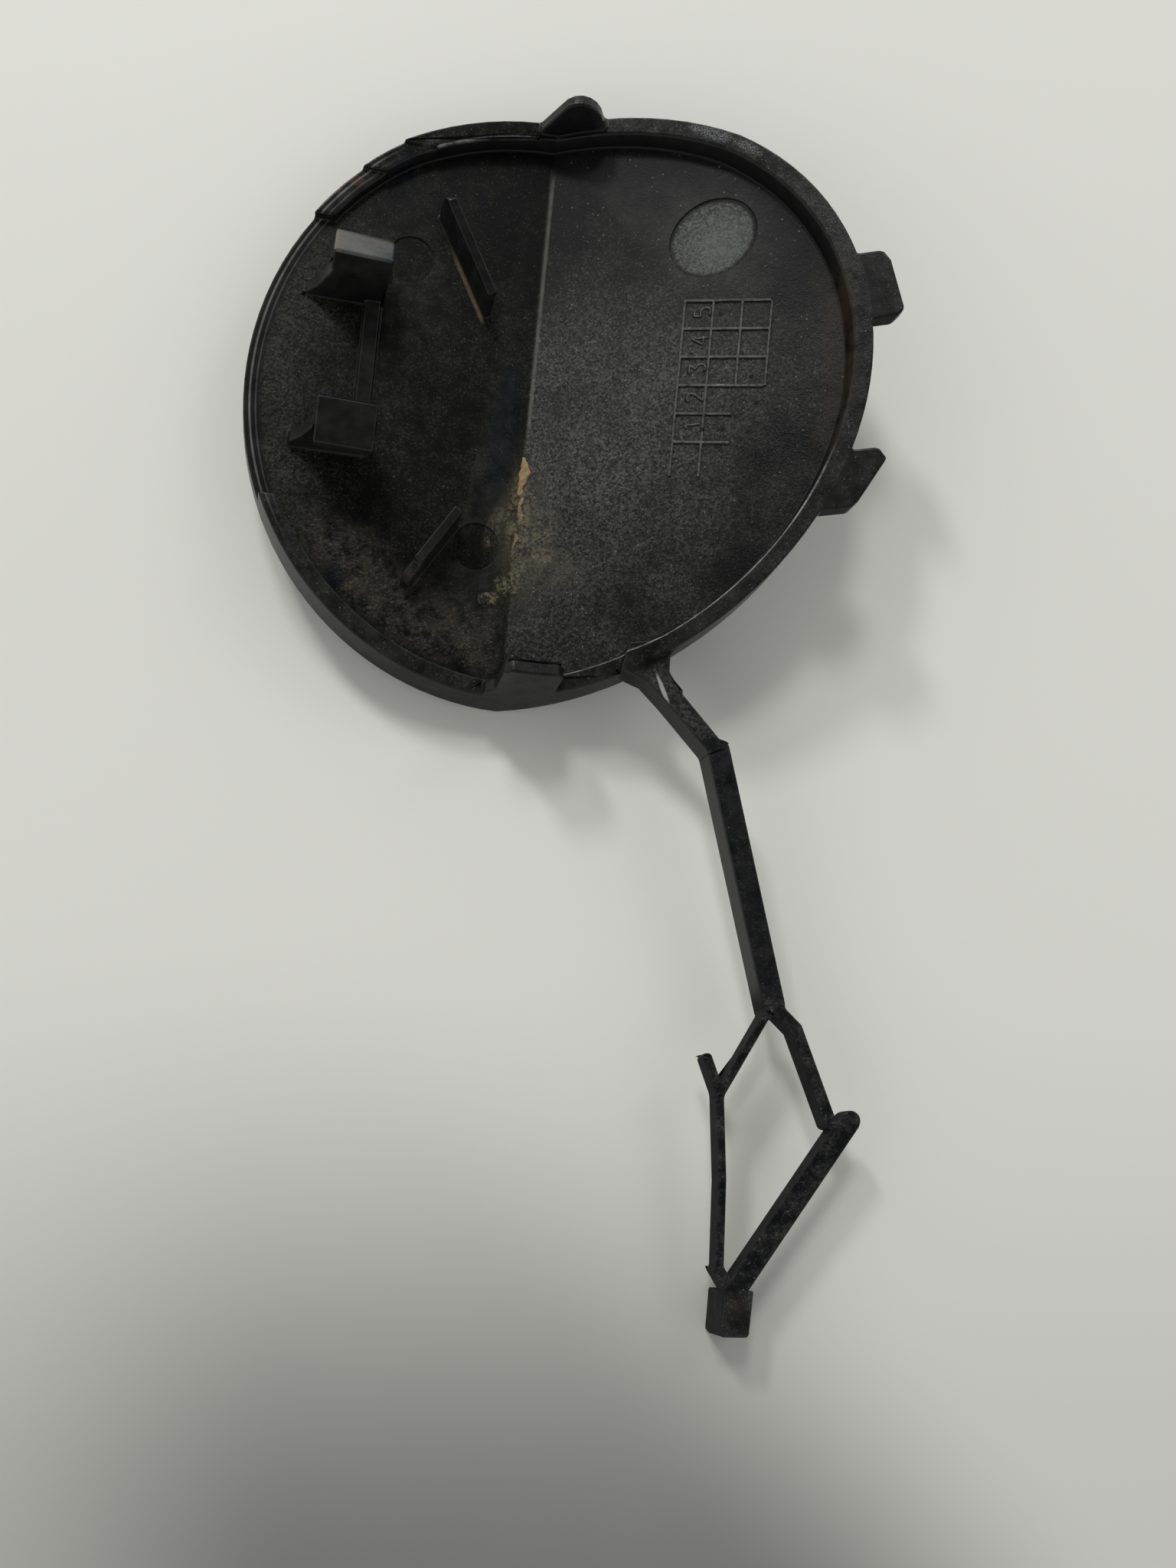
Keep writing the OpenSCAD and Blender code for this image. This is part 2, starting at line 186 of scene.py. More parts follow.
class Paint:
    """A material whose nodes are added by calls; values and wires go to the sockets in order."""

    def __init__(self, name):
        self.material = bpy.data.materials.new(name)
        self.material.use_nodes = True
        self.tree = self.material.node_tree
        self.surface = self.tree.nodes["Principled BSDF"]

    def node(self, kind, settings, *values, out=0, **named):
        made = self.tree.nodes.new(kind)
        for key, value in settings.items():
            setattr(made, key, value)
        for place, value in enumerate(values):
            self.put(made.inputs[place], value)
        for name, value in named.items():
            self.put(made.inputs[name], value)
        return Wire(self, made.outputs[out])

    def put(self, socket, value):
        if isinstance(value, Wire):
            self.tree.links.new(value.socket, socket)
        else:
            if socket.type == "RGBA" and len(value) == 3:
                value = (*value, 1)
            socket.default_value = value

    def over(self, amount, below, above):
        """Colour above laid over colour below where amount is 1."""
        mixed = self.node("ShaderNodeMix", {"data_type": "RGBA", "clamp_factor": True}, out=2)
        sockets = mixed.socket.node.inputs
        for place, value in ((0, amount), (6, below), (7, above)):
            self.put(sockets[place], value)
        return mixed

    def noise(self, where, grain, detail, rough):
        """Fractal noise from 0 to 1 with features of about `grain` millimetres."""
        return self.node("ShaderNodeTexNoise", {"noise_dimensions": "3D"},
                         Vector=where, Scale=1 / grain, Detail=detail, Roughness=rough)

    def dot(self, vector, direction):
        """How far a vector reaches in a fixed direction."""
        return self.node("ShaderNodeVectorMath", {"operation": "DOT_PRODUCT"},
                         vector, tuple(direction), out="Value")

    def bump(self, strength, height):
        """Normal for a relief whose height is in millimetres."""
        return self.node("ShaderNodeBump", {}, Strength=strength, Distance=0.001, Height=height)

    def finish(self, **sockets):
        for name, value in sockets.items():
            self.put(self.surface.inputs[name.replace("_", " ")], value)
        return self.material


def mould_wires(paint):
    """Object coordinates in millimetres of the mould frame: the vector and its x, y and z."""
    place = paint.node("ShaderNodeTexCoord", {}, out="Object")
    shifted = paint.node("ShaderNodeVectorMath", {"operation": "MULTIPLY_ADD"},
                         place, (1000, 1000, 1000), tuple(MIDDLE))
    return shifted, *(paint.dot(shifted, axis) for axis in MOULD.T)


def black_plastic():
    p = Paint("black_plastic_worn")
    where, x, y, z = mould_wires(p)

    def distance(cx, cy):
        return ((x - cx) * (x - cx) + (y - cy) * (y - cy)) ** 0.5

    # masks of the two faces, the top of the rim, the tabs, and the strap with the anchor: high is
    # the height above the floor of the face, up is 1 where the surface faces the draw direction,
    # and over_rim is the distance outwards from the inner edge of the rim
    radius = distance(CAP_X, 0)
    large = x.rise(-0.3, 0.3)
    small = 1 - large
    tilt = large * ((LARGE_TILT - SMALL_TILT) / RISE_COS) + SMALL_TILT / RISE_COS
    high = z - (SKIN + RISE * y + x * tilt)
    normal = p.node("ShaderNodeNewGeometry", {}, out="Normal")
    up = p.dot(normal, MOULD[:, 2])
    top = up.rise(0.55, 0.8)
    floor = top * high.rise(0.9, 0.4) * radius.rise(38.4, 37.2)
    rim_top = top * high.rise(1.1, 1.6) * radius.band(37.0, 37.6, 39.6, 40.2)
    strap = 1 - radius.rise(41.4, 40.4).most(y.rise(-37.0, -36.0))
    strap_top = strap * top
    tabs = top * radius.rise(40.0, 41.0) * y.rise(-37.0, -36.0)
    over_rim = (radius - RIM_INSIDE).most(distance(CAP_X, RIM_FLAT_Y) - RIM_FLAT_RADIUS)

    # noises: clouds, blotches, streaks along the crease, speckle and grain
    cloud = p.noise(where, 9.0, 2.0, 0.55)
    blotch = p.noise(where, 2.2, 4.0, 0.6)
    drawn = p.node("ShaderNodeVectorMath", {"operation": "MULTIPLY"}, where, (1.3, 0.22, 0.5))
    streak = p.noise(drawn, 1.0, 4.0, 0.6)
    speck = p.noise(where, 0.5, 3.0, 0.7)
    grain = p.noise(where, 0.17, 2.0, 0.6)

    def grains(size):
        """Cells of a size: distance from the middle of each, and a random value for each."""
        near = p.node("ShaderNodeTexVoronoi", {"feature": "F1"}, Vector=where, Scale=1 / size)
        shade = Wire(p, near.socket.node.outputs["Color"])
        return near, p.node("ShaderNodeSeparateColor", {}, shade)

    cells, chance = grains(0.75)
    cells_fine, chance_fine = grains(0.28)
    dots = cells.rise(0.17, 0.07) * chance.rise(0.72, 0.80)
    dots_fine = cells_fine.rise(0.30, 0.12) * chance_fine.rise(0.66, 0.8)

    def blots(rows):
        """The strongest of some blots: soft and ragged at the edge, nothing beyond."""
        strongest = None
        for cx, cy, rx, ry, turn, soft, ragged, strength in rows:
            c, s = np.cos(np.radians(turn)), np.sin(np.radians(turn))
            dx, dy = x - cx, y - cy
            a, b = (dx * c + dy * s) / rx, (dy * c - dx * s) / ry
            far = (a * a + b * b) ** 0.5 + (blotch - 0.5) * (2 * ragged)
            blot = far.rise(1 + soft / 2, 1 - soft / 2) * strength
            strongest = blot if strongest is None else strongest.most(blot)
        return strongest

    # bare plastic, a little bluish on the strap, with a matt film of dust: grey on the large face
    # with a painted sheen in its middle and painted shade towards its top and right, olive and thin
    # on the small face and thicker at its outer edge
    colour = p.over(strap, BARE, BARE_STRAP)
    painted_sheen = distance(*SHEEN_MIDDLE).rise(32.0, 6.0)
    dust_and_sheen_large = painted_sheen * 0.23 + 0.15 - y.rise(4.0, 26.0) * 0.19 - x.rise(20.0, 33.0) * 0.09
    edge_dust = radius.rise(26.0, 36.0) * x.rise(-22.0, -30.0) * 0.13
    film_small = edge_dust + 0.055 - y.rise(14.0, 26.0) * 0.05
    dust_and_sheen = floor * (large * dust_and_sheen_large + small * film_small
                    + (cloud - 0.5) * (large * 0.3 + 0.22) + (blotch - 0.5) * 0.22)
    dust_and_sheen = dust_and_sheen + rim_top * ((blotch - 0.5) * 0.35 + 0.05)
    dust_and_sheen = dust_and_sheen + strap_top * ((blotch - 0.5) * 0.16 + 0.025)
    dust_and_sheen = dust_and_sheen + strap_top * (y.rise(-46.5, -44.5) * (blotch * 0.35)
                               + y.rise(-77.0, -80.0) * (blotch - 0.42).most(0) * 0.6)
    dust_and_sheen = dust_and_sheen + tabs * ((blotch - 0.5) * 0.25 + 0.02)
    grainy = (grain - 0.5) * 3.1 + (speck - 0.5) * 0.4 + (chance_fine - 0.5) * 1.3 + 0.88
    grainy = grainy.most(0.25) ** 1.5 * 1.08
    dust_and_sheen = dust_and_sheen.most(0) * grainy
    colour = p.over(dust_and_sheen, colour, p.over(large, OLIVE_DUST, GREY_DUST))

    # the big round mark is dustier; the flank of the strap that faces left is painted lighter, a
    # painted light on the side towards the windows
    mark_x, mark_y, _ = ROUND_MARKS[0]
    mark = distance(mark_x, mark_y).rise(5.2, 4.6) * large * floor
    mark_film = grainy * 0.38 + 0.12 + distance(*MARK_GLOW_MIDDLE).rise(6.5, 0.5) * 0.38
    colour = p.over(mark * mark_film, colour, MARK_DUST)
    leftward = p.dot(normal, (-1, 0, 0)).rise(0.35, 0.75)
    colour = p.over(strap * y.rise(-80.0, -76.0) * leftward * 0.30, colour, LIT_FLANK)

    # rust-brown dust along the low rim, in grains
    low_band = radius.band(25.5, 31.0, 35.0, 37.5) * y.rise(-15.5, -20.5) * x.rise(0.5, -2.5)
    brown = low_band * (blotch * 1.3 + speck * 0.9 - 0.75).rise(0.1, 0.6)
    colour = p.over(brown * 0.85, colour, BROWN_DUST)
    brown_grains = (speck * 1.2 + blotch * 0.6 + chance_fine * 0.25).rise(1.16, 1.34)
    colour = p.over(low_band * brown_grains * 0.7, colour, BROWN_GRAINS)
    # brown dirt in the corner of the wall at the tabs, and rusty blots at the steps and the anchor
    wall_dirt = radius.band(34.6, 36.6, 37.8, 38.6) * large * y.band(-13.0, -6.0, 11.0, 16.0)
    colour = p.over(wall_dirt * (blotch - 0.3).rise(0.0, 0.3) * 0.7, colour, WALL_DIRT)
    for row in RUST_BLOTS:
        colour = p.over(blots([row]), colour, RUST)

    # dried mud at the crease: a haze, a thin layer in it, a blot to its right, and crumbs below
    haze = (streak * 0.35 + blotch * 0.6 + speck * 0.6 - 0.35).rise(0.1, 0.8)
    smear = blots(MUD_SMEAR) * high.rise(0.9, 0.5)
    colour = p.over(smear * haze * 0.8, colour, HAZE)
    flakes = (streak * 0.45 + blotch * 0.55 + (speck - 0.5) * 0.7).rise(0.42, 0.64)
    thick = blots(THICK_MUD)
    colour = p.over(thick * flakes * 0.9, colour, THIN_MUD)
    colour = p.over(blots(MUD_BLOT) * speck.rise(0.38, 0.6) * 0.6, colour, BLOT_MUD)
    crumbs = blots(MUD_CRUMBS)
    colour = p.over(crumbs * (speck + chance_fine * 0.2).rise(0.54, 0.72) * 0.85, colour, CRUMB_MUD)

    # a painted highlight along the crease, painted shadow as a dark blue-black band to its left,
    # and three more dark blots
    line = (x - 0.25).size().rise(0.34, 0.10) * floor * y.band(-5.5, 1.0, 31.0, 35.5)
    colour = p.over(line * (blotch * 0.8 + 0.05), colour, CREASE_HIGHLIGHT)
    colour = p.over(blots(DARK_BLOTS) * 0.85, colour, DARK_BLUE)

    # tan dust along the foot of the upper fin, on its left; the fin itself is clean, and it and the
    # lip of the bottom tongue are painted darker than bare plastic, as painted shade
    along = (x - FIN_X) * FIN_COS - (y - FIN_Y) * FIN_SIN
    across = (x - FIN_X) * FIN_SIN + (y - FIN_Y) * FIN_COS
    foot = (across + 0.15).size().rise(0.38, 0.12) * along.band(4.0, 8.0, 14.5, 16.0)
    foot = foot * high.rise(0.8, 0.3) * small
    colour = p.over(foot * (blotch * 1.2 + 0.2), colour, FOOT_DUST)
    fin = (across - 0.7).size().rise(1.3, 1.0) * along.band(-1.0, 0.0, 16.0, 17.0)
    fin = fin * high.rise(0.25, 0.7) * small
    colour = p.over(fin, colour, CLEAN_SHADED_FIN)
    lip = high.rise(7.2, 8.2) * y.rise(-35.0, -36.0) * large
    colour = p.over(lip, colour, SHADED_LIP)

    # painted highlights: the lines of the date grid lighter here and there, and painted glints on
    # their sides that face the window
    on_grid = large * high.rise(0.9, 0.5) * radius.rise(36.0, 35.0)
    grid_highlight = on_grid * top * high.rise(0.06, 0.15)
    colour = p.over(grid_highlight * (blotch * 1.6 + speck * 2.4 - 1.5), colour, GRID_HIGHLIGHT)
    northward = p.dot(normal, (0, 1, 0)).rise(0.45, 0.75)
    glint = on_grid * high.rise(0.02, 0.06) * northward
    colour = p.over(glint * (speck * 2.0 - 0.4), colour, GRID_GLINTS)

    # light specks of grit, and painted glints on the grain that follow the painted sheen
    loose = cloud.rise(0.30, 0.62) * 0.8 + 0.2
    gritty = floor * (large * 0.4 + 0.4) + rim_top * 0.5 + strap_top * 0.5 + tabs * 0.7
    colour = p.over(dots * loose * gritty, colour, GRIT)
    glint_amount = floor * (large * (painted_sheen * 0.50 + 0.15) + 0.18) \
        + rim_top * 0.30 + strap_top * 0.40 + tabs * 0.4
    colour = p.over(dots_fine * glint_amount, colour, p.over(strap, GRAIN_GLINTS, STRAP_GRAIN_GLINTS))
    # painted shade: dark dots where small pits sit in the cells of the grid
    for cx, cy in GRID_PIPS:
        colour = p.over(distance(cx, cy).rise(0.36, 0.24) * floor, colour, PIT_SHADE)

    # the lead-in slope of the upper clip is pale, tan at its left, blue-green at its low edge
    nose = x.band(-30.2, -29.2, -21.2, -20.2) * y.band(10.8, 11.8, 18.0, 18.6)
    nose = nose * high.rise(5.0, 6.0) * up.rise(0.2, 0.5)
    nose_colour = p.over(x.rise(-25.0, -21.0) * y.rise(15.6, 12.6), NOSE_PALE, NOSE_BLUE)
    nose_colour = p.over(x.rise(-27.2, -28.8) * 0.8, nose_colour, NOSE_TAN)
    nose_colour = p.over(dots_fine * 0.5, nose_colour, NOSE_SPECKS)
    colour = p.over(nose * (blotch * 1.2 + speck * 0.8 - 0.1), colour, nose_colour)
    # whitish scuffs on the top of the rim, and a painted glint, a bright streak, on the neck of the
    # strap
    colour = p.over(blots(RIM_SCUFFS) * grain.rise(0.42, 0.60) * 0.75, colour, SCUFF)
    colour = p.over(blots(NECK_GLINT) * up.rise(0.6, 0.85) * 0.8, colour, GLINT)

    # edges lighter: all a little, rubbed and with a painted highlight, and painted highlights along
    # the outline at the left and the inner edge of the rim in two places
    edge = p.node("ShaderNodeAttribute", {"attribute_name": "edge"}, out="Fac")
    colour = p.over(edge * (blotch * 1.3 - 0.2) * 0.4, colour, EDGE_WEAR_AND_HIGHLIGHT)
    at_left = x.rise(-20.0, -27.0) * y.rise(-24.0, -8.0) * up.rise(0.3, 0.6)
    outline = (radius - RIM_OUTSIDE).size().rise(0.20, 0.07) \
        + (radius - RIM_STEP).size().rise(0.16, 0.06) * 0.4
    colour = p.over(outline * at_left * (blotch + 0.1), colour, OUTLINE_HIGHLIGHT)
    lit = x.rise(5.0, 9.0) * y.rise(-9.0, -16.0) \
        + x.band(-19.0, -16.0, -4.5, -2.0) * y.rise(20.0, 26.0)
    inner = (over_rim - 0.08).size().rise(0.13, 0.04) * high.rise(1.8, 2.2) * lit
    colour = p.over(inner * (blotch * 1.8 + speck * 1.4 - 1.0), colour, RIM_EDGE_HIGHLIGHT)

    # bare plastic shines more than dust, and mud not at all; the top of the large face and the
    # flanks of the anchor are duller, the fin and the far top of the rim glossier
    rough = dust_and_sheen * 0.60 + 0.36 + (grain - 0.5) * 0.2 - edge * 0.08
    rough = rough + floor * large * y.rise(4.0, 24.0) * 0.22
    rough = rough + strap * y.rise(-76.0, -80.0) * (1 - top) * 0.5
    north = rim_top * y.rise(14.0, 30.0)
    rough = rough.most(thick * 0.85) * (1 - fin * 0.3 - north * 0.35)

    # relief in millimetres: grain, specks, blotches, and the lumps of mud, crumbs and brown dust
    texture = floor * (large + 0.25) + strap * 0.8 + rim_top * 0.7 + 0.15
    texture = texture * (1 - fin - north * 0.6)
    heights = texture * (grain * 0.05 + speck * 0.06 + dots_fine * 0.03) + blotch * 0.03 \
        + thick * streak * 0.25 + crumbs * speck * 0.35 + brown * speck * 0.16 \
        + low_band * chance_fine * 0.03
    return p.finish(Base_Color=colour, Roughness=rough, Normal=p.bump(0.6, heights),
                    Specular_IOR_Level=0.14)


# ---------------------------------------------------------------- the moulding
# One shot of black thermoplastic. The sharp solid is copied and its edges are rounded as a
# mould leaves them: about 0.3 mm on the rim, clips and strap, much less on the shallow marks.

# Points closer than MERGE metres are taken as one. Faces are merged where they meet at less than
# FLAT_ANGLE, left of MERGED_TO_X only, and edges are rounded from SHARP_ANGLE on.
MERGE = 4e-5
SHARP_ANGLE, FLAT_ANGLE = np.radians([24, 0.8])
MERGED_TO_X = 12
# Rounding in millimetres: where the bevel weight is 1, usual, on low relief, and at one barb.
BEVEL, ROUNDED, FINE, AT_BARB = 0.4, 0.32, 0.06, 0.08
BARB_X, BARB_Y, BARB_REACH = 35.5, -115.6, 3.2
GRID_X, GRID_Y, GRID_RELIEF = (17, 34), (-12, 17), 0.5
MARK_REACH, MARK_RELIEF = 0.4, 0.3
# Turn of the normal per metre that counts as a full edge.
EDGE_BEND = 2500


def in_mould(points):
    """From metres on the table to millimetres in the mould frame."""
    return (points * 1000 + MIDDLE) @ MOULD


def from_mould(points):
    """The way back from the mould frame to metres on the table."""
    return (points @ MOULD.T - MIDDLE) / 1000


def floor_height(x, y):
    """Height of the inside of the two flat faces at a place of the cap, in the mould frame."""
    return SKIN + RISE * y + x * np.where(x < 0, SMALL_TILT, LARGE_TILT) / RISE_COS


def rounding_of(points):
    """Edge rounding in mm at points of the mould frame: fine on marks and grid, else wider."""
    x, y, z = points.T
    high = z - floor_height(x, y)
    width = np.full(len(points), ROUNDED)
    width[np.hypot(x - BARB_X, y - BARB_Y) < BARB_REACH] = AT_BARB
    fine = (x > GRID_X[0]) & (x < GRID_X[1]) & (y > GRID_Y[0]) & (y < GRID_Y[1])
    fine &= high < GRID_RELIEF
    for cx, cy, r in ROUND_MARKS:
        fine |= (np.abs(np.hypot(x - cx, y - cy) - r) < MARK_REACH) & (high < MARK_RELIEF)
    width[fine] = FINE
    return width


def rounded_copy(solid):
    """Merged copy of the solid, bevelled where its faces meet at more than the sharp angle."""
    work = bmesh.new()
    work.from_mesh(solid.data)
    bmesh.ops.remove_doubles(work, verts=work.verts, dist=MERGE)
    plain = {v for v in work.verts if in_mould(np.array(v.co))[0] < MERGED_TO_X}
    bmesh.ops.dissolve_limit(
        work, angle_limit=FLAT_ANGLE, verts=list(plain),
        edges=[e for e in work.edges if e.verts[0] in plain and e.verts[1] in plain])
    mesh = bpy.data.meshes.new("cover_sharp")
    work.to_mesh(mesh)
    sharp = np.array([e.calc_face_angle(0) for e in work.edges]) > SHARP_ANGLE
    middles = np.array([(e.verts[0].co + e.verts[1].co) / 2 for e in work.edges])
    work.free()
    weights = np.where(sharp, rounding_of(in_mould(middles)) / BEVEL, 0).astype(np.float32)
    mesh.attributes.new("bevel_weight_edge", "FLOAT", "EDGE").data.foreach_set("value", weights)
    mesh.polygons.foreach_set("use_smooth", np.ones(len(mesh.polygons), bool))
    piece = bpy.data.objects.new("cover", mesh)
    bpy.context.collection.objects.link(piece)
    bevel = piece.modifiers.new("rounding", "BEVEL")
    bevel.limit_method, bevel.width, bevel.segments = "WEIGHT", BEVEL / 1000, 3
    bevel.use_clamp_overlap = False
    bevel.miter_outer = "MITER_ARC"
    bevel.face_strength_mode = "FSTR_ALL"
    flats = piece.modifiers.new("flats", "WEIGHTED_NORMAL")
    flats.use_face_influence = True
    shaped = piece.evaluated_get(bpy.context.evaluated_depsgraph_get())
    piece.data = bpy.data.meshes.new_from_object(shaped)
    piece.modifiers.clear()
    return piece


def vectors_of(vertices, name):
    """Places or normals of all vertices of a mesh, one row each."""
    values = np.zeros(len(vertices) * 3)
    vertices.foreach_get(name, values)
    return values.reshape(-1, 3)


def mark_edges(mesh):
    """Attribute `edge`: 1 where the surface turns outwards, from the turn of the normals."""
    at, normals = vectors_of(mesh.vertices, "co"), vectors_of(mesh.vertices, "normal")
    pairs = np.zeros(len(mesh.edges) * 2, int)
    mesh.edges.foreach_get("vertices", pairs)
    a, b = pairs.reshape(-1, 2).T
    gap = at[b] - at[a]
    bend = ((normals[b] - normals[a]) * gap).sum(1) / np.maximum((gap ** 2).sum(1), 1e-12)
    most = np.zeros(len(at))
    for end in (a, b):
        np.maximum.at(most, end, bend)
    edge = np.clip(most / EDGE_BEND, 0, 1).astype(np.float32)
    mesh.attributes.new("edge", "FLOAT", "POINT").data.foreach_set("value", edge)


cover = rounded_copy(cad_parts["tow_eye_cover"])
mark_edges(cover.data)
plastic = black_plastic()
cover.data.materials.clear()
cover.data.materials.append(plastic)
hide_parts("tow_eye_cover")
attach(cover, "root")

# ---------------------------------------------------------------- numbers of the date grid
# Plain numbers from 1 to 5 in the first column of the grid, raised from the floor by the mould
# like the lines around them, in the same plastic, and turned a quarter turn to the left.

# Millimetres of the mould frame: a column at NUMBERS_X, with number n at NUMBERS_Y + n steps.
NUMBERS_X, NUMBERS_Y, NUMBERS_STEP, NUMBERS_SIZE = 21.0, -8.1, 3.85, 2.0
STROKE_HALF, STROKE_HEIGHT, STROKE_STEP, STROKE_SUNK = 0.17, 0.19, 0.12, 0.02
# Distance in metres up to which points of a shell are joined to close it.
SHELL_MERGE = 5e-7
# Strokes of the numbers, as points to the right and up in units of the size of a number.
DIGITS = {
    5: ((0.55, 1), (0.08, 1), (0.03, 0.58), (0.3, 0.64), (0.53, 0.52),
        (0.6, 0.3), (0.5, 0.08), (0.25, 0), (0, 0.08)),
    4: ((0.45, 0), (0.45, 1), (0, 0.3), (0.62, 0.3)),
    3: ((0, 1), (0.58, 1), (0.28, 0.6), (0.5, 0.53), (0.6, 0.3), (0.5, 0.08), (0.25, 0), (0, 0.1)),
    2: ((0.02, 0.78), (0.1, 0.95), (0.3, 1), (0.52, 0.93), (0.58, 0.75), (0.5, 0.55),
        (0, 0), (0.62, 0)),
    1: ((0.1, 0.75), (0.35, 1), (0.35, 0)),
}


def on_floor(x, y, above):
    """Points of the mould frame at a height above the floor of the cap."""
    return np.stack([x, y, floor_height(x, y) + above], -1)


def raised_stroke(path):
    """Tube along a path, half sunk in the floor: path(s) + r(s) (w cos t side, h sin t up).

    The factor r is 0 at both ends and 1 from one half width w inwards.
    """
    steps = np.concatenate([[0], np.cumsum(np.hypot(*np.diff(path, axis=0).T))])
    s = np.linspace(0, steps[-1], max(6, int(steps[-1] / STROKE_STEP)))
    line = np.stack([np.interp(s, steps, path[:, k]) for k in (0, 1)], -1)
    line[1:-1] = (line[:-2] + 2 * line[1:-1] + line[2:]) / 4
    ahead = np.gradient(line, axis=0)
    ahead /= np.hypot(*ahead.T)[:, None]
    side = np.stack([-ahead[:, 1], ahead[:, 0]], -1)
    fade = np.sqrt(np.clip(np.minimum(s, s[-1] - s) / STROKE_HALF, 0, 1))[:, None]
    t = np.linspace(0, 2 * np.pi, 17)[None, :]
    place = line[:, None, :] + side[:, None, :] * (fade * STROKE_HALF * np.cos(t))[..., None]
    above = fade * STROKE_HEIGHT * np.sin(t) - STROKE_SUNK
    return on_floor(place[..., 0], place[..., 1], above)


def add_piece(name, grids, material):
    """One object on the root from grids of points in the mould frame, closed to shells."""
    points, faces = [], []
    first = 0
    for grid in grids:
        number = first + np.arange(grid.shape[0] * grid.shape[1]).reshape(grid.shape[:2])
        corners = (number[:-1, :-1], number[1:, :-1], number[1:, 1:], number[:-1, 1:])
        points.append(grid.reshape(-1, 3))
        faces.append(np.stack(corners, -1).reshape(-1, 4))
        first += number.size
    points, faces = from_mould(np.concatenate(points)), np.concatenate(faces)
    mesh = bpy.data.meshes.new(name)
    mesh.from_pydata(points.tolist(), [], faces.tolist())
    shells = bmesh.new()
    shells.from_mesh(mesh)
    bmesh.ops.remove_doubles(shells, verts=shells.verts, dist=SHELL_MERGE)
    bmesh.ops.recalc_face_normals(shells, faces=shells.faces)
    shells.to_mesh(mesh)
    shells.free()
    mesh.polygons.foreach_set("use_smooth", np.ones(len(mesh.polygons), bool))
    mesh.materials.append(material)
    piece = bpy.data.objects.new(name, mesh)
    bpy.context.collection.objects.link(piece)
    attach(piece, "root")
    return piece


def number_strokes():
    """The strokes of all the numbers at their places, with up turned towards -x."""
    strokes = []
    for digit, path in DIGITS.items():
        right, up = np.array(path).T
        x = NUMBERS_X - (up - 0.5) * NUMBERS_SIZE
        y = NUMBERS_Y + NUMBERS_STEP * digit + (right - 0.3) * NUMBERS_SIZE
        strokes.append(raised_stroke(np.stack([x, y], -1)))
    return strokes


add_piece("date_numbers", number_strokes(), plastic)

# ---------------------------------------------------------------- dried mud
# Three small beads of dried mud in the crease between the two faces: fine clay, pale and tan,
# browner in its cracks. It is dirt and no part of the moulding, so it has no slot.

# Rows of: middle x and y, half length, half width and height in mm, and the seed.
MUD_BEADS = (
    (0.12, -8.5, 2.7, 0.62, 0.40, 1),
    (0.25, -13.2, 1.8, 0.32, 0.22, 4),
    (-0.1, -17.4, 1.1, 0.28, 0.18, 7))
MUD_ROOT, MUD_SUNK = 0.3, 0.04
RIPPLES = (0.16, 0.12, 0.10, 0.08)
PALE_MUD, ORANGE_MUD, OLIVE_MUD = (0.30, 0.235, 0.135), (0.31, 0.185, 0.095), (0.160, 0.135, 0.080)
CRACKS, CREAM = (0.125, 0.092, 0.052), (0.46, 0.37, 0.23)


def mud_bead(x0, y0, length, width, height, seed):
    """Lump on the floor: above = height (1 - u^2)^0.4 (1 - v^2)^0.7 (1 + ripples).

    It wanders sideways with sin. Returns the top and, 0.3 mm deep in the wall, the hidden
    underside that closes it.
    """
    u, v = np.meshgrid(np.linspace(-1, 1, 64), np.linspace(-1, 1, 18), indexing="ij")
    draw = np.random.default_rng(seed)
    waves = zip(RIPPLES, draw.uniform(4, 22, 4), draw.uniform(-6, 6, 4), draw.uniform(0, 6, 4))
    ripples = sum(a * np.sin(f * u + g * v + q) for a, f, g, q in waves)
    ends = np.clip(1 - u ** 2, 0, 1) ** 0.4
    sides = np.clip(1 - v ** 2, 0, 1)
    half = width * ends * (1 + 0.25 * np.sin(5 * u + seed) + 0.12 * np.sin(13 * u))
    across = x0 + 0.18 * np.sin(3.1 * u + seed) + v * half
    along = y0 + u * length + 0.06 * np.sin(9 * v) * ends
    lump = height * ends * sides ** 0.7 * (1 + ripples)
    root = MUD_ROOT * ends * sides ** 0.5
    return [on_floor(across, along, lump - MUD_SUNK), on_floor(across, along, -root - MUD_SUNK)]


def mud():
    p = Paint("dried_mud")
    place = p.node("ShaderNodeTexCoord", {}, out="Object")
    where = p.node("ShaderNodeVectorMath", {"operation": "SCALE"}, place, Scale=1000)
    coarse, fine = p.noise(where, 1.1, 3.0, 0.6), p.noise(where, 0.28, 3.0, 0.7)
    colour = p.over(coarse.rise(0.40, 0.62), PALE_MUD, ORANGE_MUD)
    low_end = p.node("ShaderNodeSeparateXYZ", {}, where, out="Y").rise(31.5, 29.5)
    colour = p.over(low_end * 0.75, colour, OLIVE_MUD)
    colour = p.over((fine - 0.45) * 4, colour, CRACKS)
    colour = p.over(fine.rise(0.58, 0.66) * 0.6, colour, CREAM)
    relief = p.bump(0.7, fine * 0.14 + coarse * 0.1)
    return p.finish(Base_Color=colour, Roughness=0.92, Normal=relief, Specular_IOR_Level=0.1)


add_piece("dried_mud", [shell for row in MUD_BEADS for shell in mud_bead(*row)], mud())

# ---------------------------------------------------------------- table and light
# A white table top, with the photographer's soft shadow painted into its colour towards the bottom.
# A window above the picture, one to its upper left and a weak one to its upper right light it, in a
# dim room that is darkest overhead.
PAPER, SHADED_PAPER, MOTTLED_PAPER = (0.72, 0.72, 0.67), (0.11, 0.11, 0.102), (0.66, 0.655, 0.60)
# Rows of: name, direction, diameter in metres and power in watts.
LAMPS = (
    ("window", (-0.08, 0.74, 0.66), 0.30, 7.2),
    ("low_window", (-0.33, 0.80, 0.50), 0.20, 8.4),
    ("far_window", (0.62, 0.60, 0.50), 0.35, 1.3))
LAMP_DISTANCE = 1.6
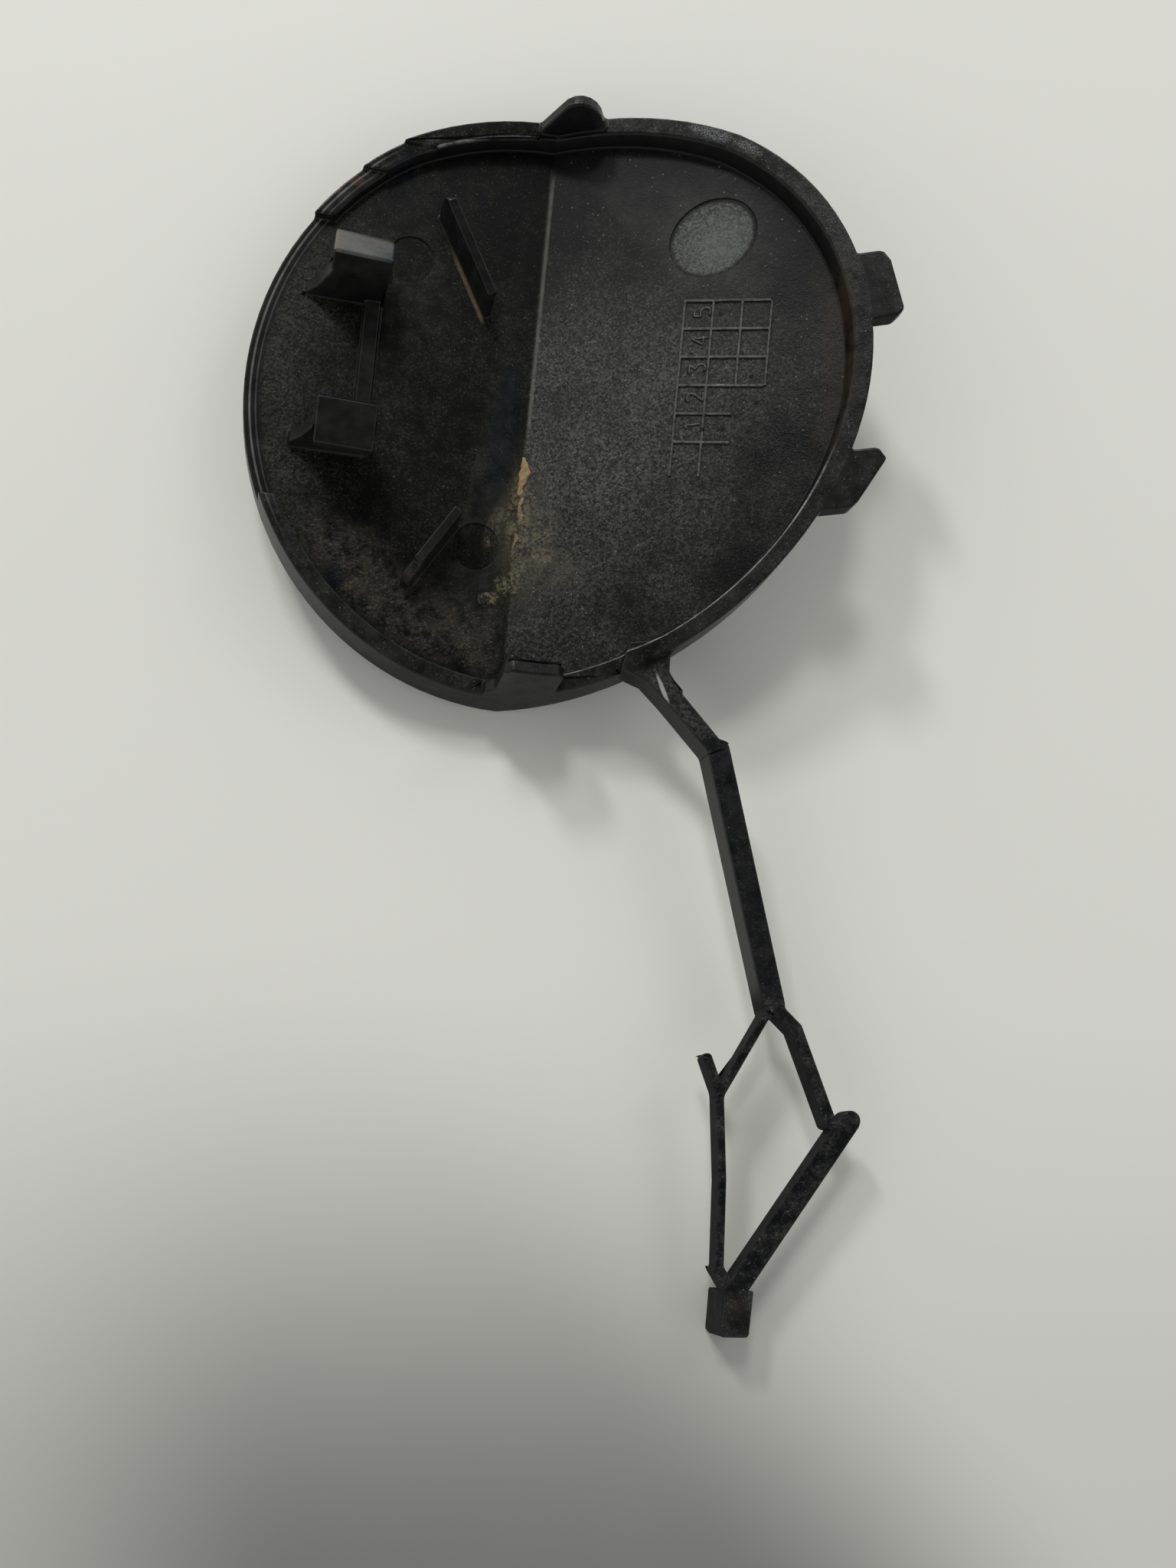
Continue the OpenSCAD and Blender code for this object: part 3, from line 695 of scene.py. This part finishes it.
# The light of the room falls from its first strength to its second over these heights of the view.
ROOM_HEIGHTS, ROOM_STRENGTHS = (0.55, 0.88), (0.98, 0.03)


def white_table():
    p = Paint("white_table")
    where = p.node("ShaderNodeTexCoord", {}, out="Object")
    x = p.node("ShaderNodeSeparateXYZ", {}, where, out="X")
    y = Wire(p, x.socket.node.outputs["Y"])
    low, corner = y.rise(-0.026, -0.122), (x + y * 0.8).rise(-0.014, -0.074)
    shade = low * (corner * 0.78 + 0.22) * (x.rise(-0.088, -0.035) * 0.45 + 0.55) * 0.88
    shade = shade * y.rise(-0.36, -0.15) * x.rise(-0.34, -0.11)
    mottle = p.node("ShaderNodeTexNoise", {}, Vector=where, Scale=18, Detail=3.0)
    colour = p.over(shade, PAPER, SHADED_PAPER)
    colour = p.over((mottle - 0.4) * 0.12, colour, MOTTLED_PAPER)
    return p.finish(Base_Color=colour, Roughness=0.62, Specular_IOR_Level=0.3)


bpy.ops.mesh.primitive_plane_add(size=6)
table = bpy.context.object
table.name = "table"
table.data.materials.append(white_table())

for name, direction, size, power in LAMPS:
    lamp = bpy.data.lights.new(name, "AREA")
    lamp.shape, lamp.size, lamp.energy = "DISK", size, power
    box = bpy.data.objects.new(name, lamp)
    bpy.context.collection.objects.link(box)
    box.location = np.array(direction) / np.linalg.norm(direction) * LAMP_DISTANCE
    box.rotation_mode = "QUATERNION"
    box.rotation_quaternion = box.location.to_track_quat("Z", "Y")

room = bpy.data.worlds.new("room")
bpy.context.scene.world = room
room.use_nodes = True
tree = room.node_tree
look = tree.nodes.new("ShaderNodeTexCoord")
split = tree.nodes.new("ShaderNodeSeparateXYZ")
fade = tree.nodes.new("ShaderNodeMapRange")
tree.links.new(look.outputs["Generated"], split.inputs[0])
tree.links.new(split.outputs["Z"], fade.inputs[0])
for socket, value in zip(fade.inputs[1:5], ROOM_HEIGHTS + ROOM_STRENGTHS):
    socket.default_value = value
tree.links.new(fade.outputs[0], tree.nodes["Background"].inputs["Strength"])
tree.nodes["Background"].inputs[0].default_value = (1, 1, 1, 1)
bpy.context.scene.view_settings.view_transform = "Standard"
